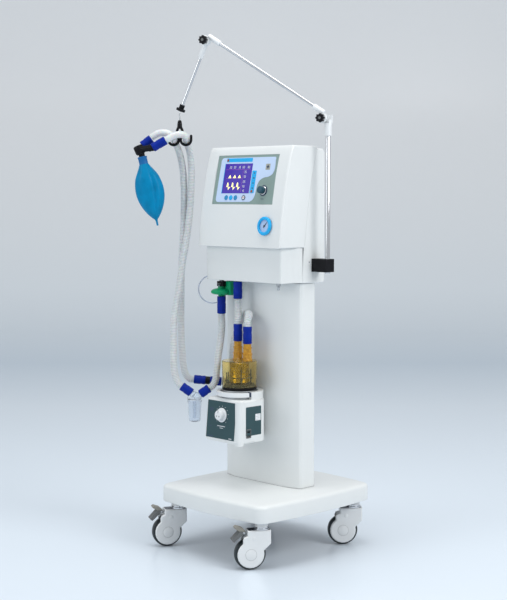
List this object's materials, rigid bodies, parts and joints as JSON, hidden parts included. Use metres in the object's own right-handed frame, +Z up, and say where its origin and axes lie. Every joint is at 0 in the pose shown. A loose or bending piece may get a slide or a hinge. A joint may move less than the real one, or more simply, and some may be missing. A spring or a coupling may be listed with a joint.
{
  "type": "mechanical ventilator",
  "caption": "Hospital ventilator on a caster cart, with a jointed hose arm, a heated humidifier, a corrugated patient circuit and a test lung.",
  "frame": {"origin": "on the floor, under the middle of the box around the cart, its arm and the hanging test lung", "axes": "+Z up, -Y towards the user at the front panel, +X to the side that carries the arm"},
  "size_m": [0.6115, 0.6057, 1.7335],
  "materials": {
    "shell_white": "satin",
    "grey_plastic": "matte",
    "black_plastic": "satin",
    "chrome_tube": "polished",
    "plain_steel": "brushed",
    "caster_tyre": "matte",
    "panel_green": "matte",
    "display": "gloss",
    "key_cyan": "gloss",
    "knob_blue": "satin",
    "alarm_red": "gloss",
    "cuff_blue": "satin",
    "valve_green": "satin",
    "chamber_amber": "gloss",
    "cup_clear": "gloss",
    "hose_white": "satin",
    "lung_teal": "satin"
  },
  "bodies": {
    "cart": {"base_frame": "plain_steel", "base_shell": "shell_white", "mast": "plain_steel", "column_cover": "shell_white", "column_rear_panel": "shell_white", "front_cover": "shell_white", "neck_cover": "shell_white", "rear_cover": "shell_white", "pneumatic_module": "plain_steel", "control_panel": "panel_green", "display_window": "display", "gauge_bezel": "key_cyan", "arm_clamp": "black_plastic", "humidifier_bracket": "plain_steel", "humidifier_body": "shell_white", "heater_plate": "plain_steel", "chamber_base": "black_plastic", "humidifier_chamber": "chamber_amber", "exhalation_valve": "valve_green", "exhalation_cuff": "cuff_blue", "gas_outlet_cuff": "cuff_blue", "chamber_inlet_cuff": "cuff_blue", "chamber_outlet_cuff": "cuff_blue", "hose_coupler": "cuff_blue", "trap_cap": "cuff_blue", "expiratory_hose": "hose_white", "inspiratory_hose": "hose_white", "trap_hose": "hose_white", "heated_hose": "hose_white", "dry_hose": "hose_white"},
    "fork_front_right": {"caster_fork_front_right": "shell_white"},
    "wheel_front_right": {"caster_wheel_front_right": "caster_tyre"},
    "lever_front_right": {"brake_lever_front_right": "grey_plastic"},
    "fork_front_left": {"caster_fork_front_left": "shell_white"},
    "wheel_front_left": {"caster_wheel_front_left": "caster_tyre"},
    "lever_front_left": {"brake_lever_front_left": "grey_plastic"},
    "fork_rear_right": {"caster_fork_rear_right": "shell_white"},
    "wheel_rear_right": {"caster_wheel_rear_right": "caster_tyre"},
    "fork_rear_left": {"caster_fork_rear_left": "shell_white"},
    "wheel_rear_left": {"caster_wheel_rear_left": "caster_tyre"},
    "gauge_needle": {"gauge_needle": "black_plastic"},
    "encoder_knob": {"encoder_knob": "knob_blue"},
    "menu_key_1": {"menu_key_1": "key_cyan"},
    "menu_key_2": {"menu_key_2": "key_cyan"},
    "menu_key_3": {"menu_key_3": "key_cyan"},
    "alarm_key": {"alarm_key": "alarm_red"},
    "pole": {"arm_pole": "chrome_tube", "pole_head": "shell_white"},
    "upper_arm": {"upper_arm": "chrome_tube"},
    "shoulder_knob": {"elbow_knob_lower": "black_plastic"},
    "lower_arm": {"lower_arm": "chrome_tube"},
    "elbow_knob": {"elbow_knob_upper": "black_plastic"},
    "rod_collar": {"hanger_collar": "black_plastic"},
    "hanger": {"hose_hanger": "black_plastic", "y_piece": "black_plastic", "test_lung": "lung_teal"},
    "humidifier_dial": {"humidifier_dial": "shell_white"},
    "rocker_switch": {"rocker_switch": "black_plastic"},
    "chamber_guard": {"chamber_guard": "shell_white"},
    "trap_cup": {"trap_cup": "cup_clear"}
  },
  "joints": [
    {"name": "swivel_front_right", "type": "hinge", "parent": "cart", "child": "fork_front_right", "pos_m": [0.2492, -0.1987, 0.14], "axis": [0, 0, 1], "continuous": true},
    {"name": "roll_front_right", "type": "hinge", "parent": "fork_front_right", "child": "wheel_front_right", "pos_m": [0.22906, -0.23093, 0.051], "axis": [0.848, -0.5299, 0], "continuous": true},
    {"name": "brake_front_right", "type": "hinge", "parent": "fork_front_right", "child": "lever_front_right", "pos_m": [0.21899, -0.24704, 0.121], "axis": [0.848, -0.5299, 0], "range_deg": [0, 18]},
    {"name": "swivel_front_left", "type": "hinge", "parent": "cart", "child": "fork_front_left", "pos_m": [-0.1608, -0.1987, 0.14], "axis": [0, 0, 1], "continuous": true},
    {"name": "roll_front_left", "type": "hinge", "parent": "fork_front_left", "child": "wheel_front_left", "pos_m": [-0.17805, -0.23256, 0.051], "axis": [0.891, -0.454, 0], "continuous": true},
    {"name": "brake_front_left", "type": "hinge", "parent": "fork_front_left", "child": "lever_front_left", "pos_m": [-0.18668, -0.24949, 0.121], "axis": [0.891, -0.454, 0], "range_deg": [0, 18]},
    {"name": "swivel_rear_right", "type": "hinge", "parent": "cart", "child": "fork_rear_right", "pos_m": [0.2492, 0.2453, 0.14], "axis": [0, 0, 1], "continuous": true},
    {"name": "roll_rear_right", "type": "hinge", "parent": "fork_rear_right", "child": "wheel_rear_right", "pos_m": [0.22377, 0.21706, 0.051], "axis": [0.7431, -0.6691, 0], "continuous": true},
    {"name": "swivel_rear_left", "type": "hinge", "parent": "cart", "child": "fork_rear_left", "pos_m": [-0.1608, 0.2453, 0.14], "axis": [0, 0, 1], "continuous": true},
    {"name": "roll_rear_left", "type": "hinge", "parent": "fork_rear_left", "child": "wheel_rear_left", "pos_m": [-0.1798, 0.21239, 0.051], "axis": [0.866, -0.5, 0], "continuous": true},
    {"name": "needle_turn", "type": "hinge", "parent": "cart", "child": "gauge_needle", "pos_m": [0.1679, -0.1021, 1.0953], "axis": [0, -0.9932, 0.1167], "range_deg": [-95, 175], "stiffness_Nm_per_rad": 0.0001},
    {"name": "encoder_turn", "type": "hinge", "parent": "cart", "child": "encoder_knob", "pos_m": [0.1382, -0.08073, 1.21031], "axis": [0, -0.9785, 0.2062], "continuous": true},
    {"name": "menu_key_1_press", "type": "slide", "parent": "cart", "child": "menu_key_1", "axis": [0, 0.9785, -0.2062], "range_m": [0, 0.001], "stiffness_N_per_m": 400, "springref_m": -0.0005},
    {"name": "menu_key_2_press", "type": "slide", "parent": "cart", "child": "menu_key_2", "axis": [0, 0.9785, -0.2062], "range_m": [0, 0.001], "stiffness_N_per_m": 400, "springref_m": -0.0005},
    {"name": "menu_key_3_press", "type": "slide", "parent": "cart", "child": "menu_key_3", "axis": [0, 0.9785, -0.2062], "range_m": [0, 0.001], "stiffness_N_per_m": 400, "springref_m": -0.0005},
    {"name": "alarm_key_press", "type": "slide", "parent": "cart", "child": "alarm_key", "axis": [0, 0.9785, -0.2062], "range_m": [0, 0.001], "stiffness_N_per_m": 400, "springref_m": -0.0005},
    {"name": "arm_swing", "type": "hinge", "parent": "cart", "child": "pole", "pos_m": [0.2892, 0.0653, 0.966], "axis": [0, 0, 1], "range_deg": [-25, 25], "deforming": ["expiratory_hose", "inspiratory_hose"]},
    {"name": "shoulder_tilt", "type": "hinge", "parent": "pole", "child": "upper_arm", "pos_m": [0.27198, 0.05727, 1.445], "axis": [0.4226, -0.9063, 0], "range_deg": [-8, 8], "deforming": ["expiratory_hose", "inspiratory_hose"]},
    {"name": "shoulder_knob_turn", "type": "hinge", "parent": "upper_arm", "child": "shoulder_knob", "pos_m": [0.28043, 0.03914, 1.445], "axis": [0.4226, -0.9063, 0], "range_deg": [0, 270]},
    {"name": "elbow_tilt", "type": "hinge", "parent": "upper_arm", "child": "lower_arm", "pos_m": [-0.09961, -0.116, 1.711], "axis": [0.4226, -0.9063, 0], "range_deg": [-12, 12], "deforming": ["expiratory_hose", "inspiratory_hose"]},
    {"name": "elbow_knob_turn", "type": "hinge", "parent": "lower_arm", "child": "elbow_knob", "pos_m": [-0.09115, -0.13413, 1.711], "axis": [0.4226, -0.9063, 0], "range_deg": [0, 270]},
    {"name": "collar_turn", "type": "hinge", "parent": "lower_arm", "child": "rod_collar", "pos_m": [-0.18586, -0.14872, 1.495], "axis": [0.3551, 0.1656, 0.92], "range_deg": [0, 180]},
    {"name": "hanger_swivel", "type": "hinge", "parent": "lower_arm", "child": "hanger", "pos_m": [-0.1933, -0.1531, 1.47], "axis": [0, 0, 1], "range_deg": [-20, 20], "deforming": ["expiratory_hose", "inspiratory_hose"]},
    {"name": "dial_turn", "type": "hinge", "parent": "cart", "child": "humidifier_dial", "pos_m": [0.0322, -0.1682, 0.468], "axis": [0, -0.9957, 0.0924], "range_deg": [-135, 135]},
    {"name": "rocker_tip", "type": "hinge", "parent": "cart", "child": "rocker_switch", "pos_m": [0.1162, -0.1307, 0.412], "axis": [0, 1, 0], "range_deg": [-14, 0]},
    {"name": "guard_press", "type": "slide", "parent": "cart", "child": "chamber_guard", "axis": [0, 0, -1], "range_m": [0, 0.006], "stiffness_N_per_m": 400, "springref_m": -0.003},
    {"name": "cup_pull", "type": "slide", "parent": "cart", "child": "trap_cup", "axis": [0, 0, -1], "range_m": [0, 0.025]}
  ]
}
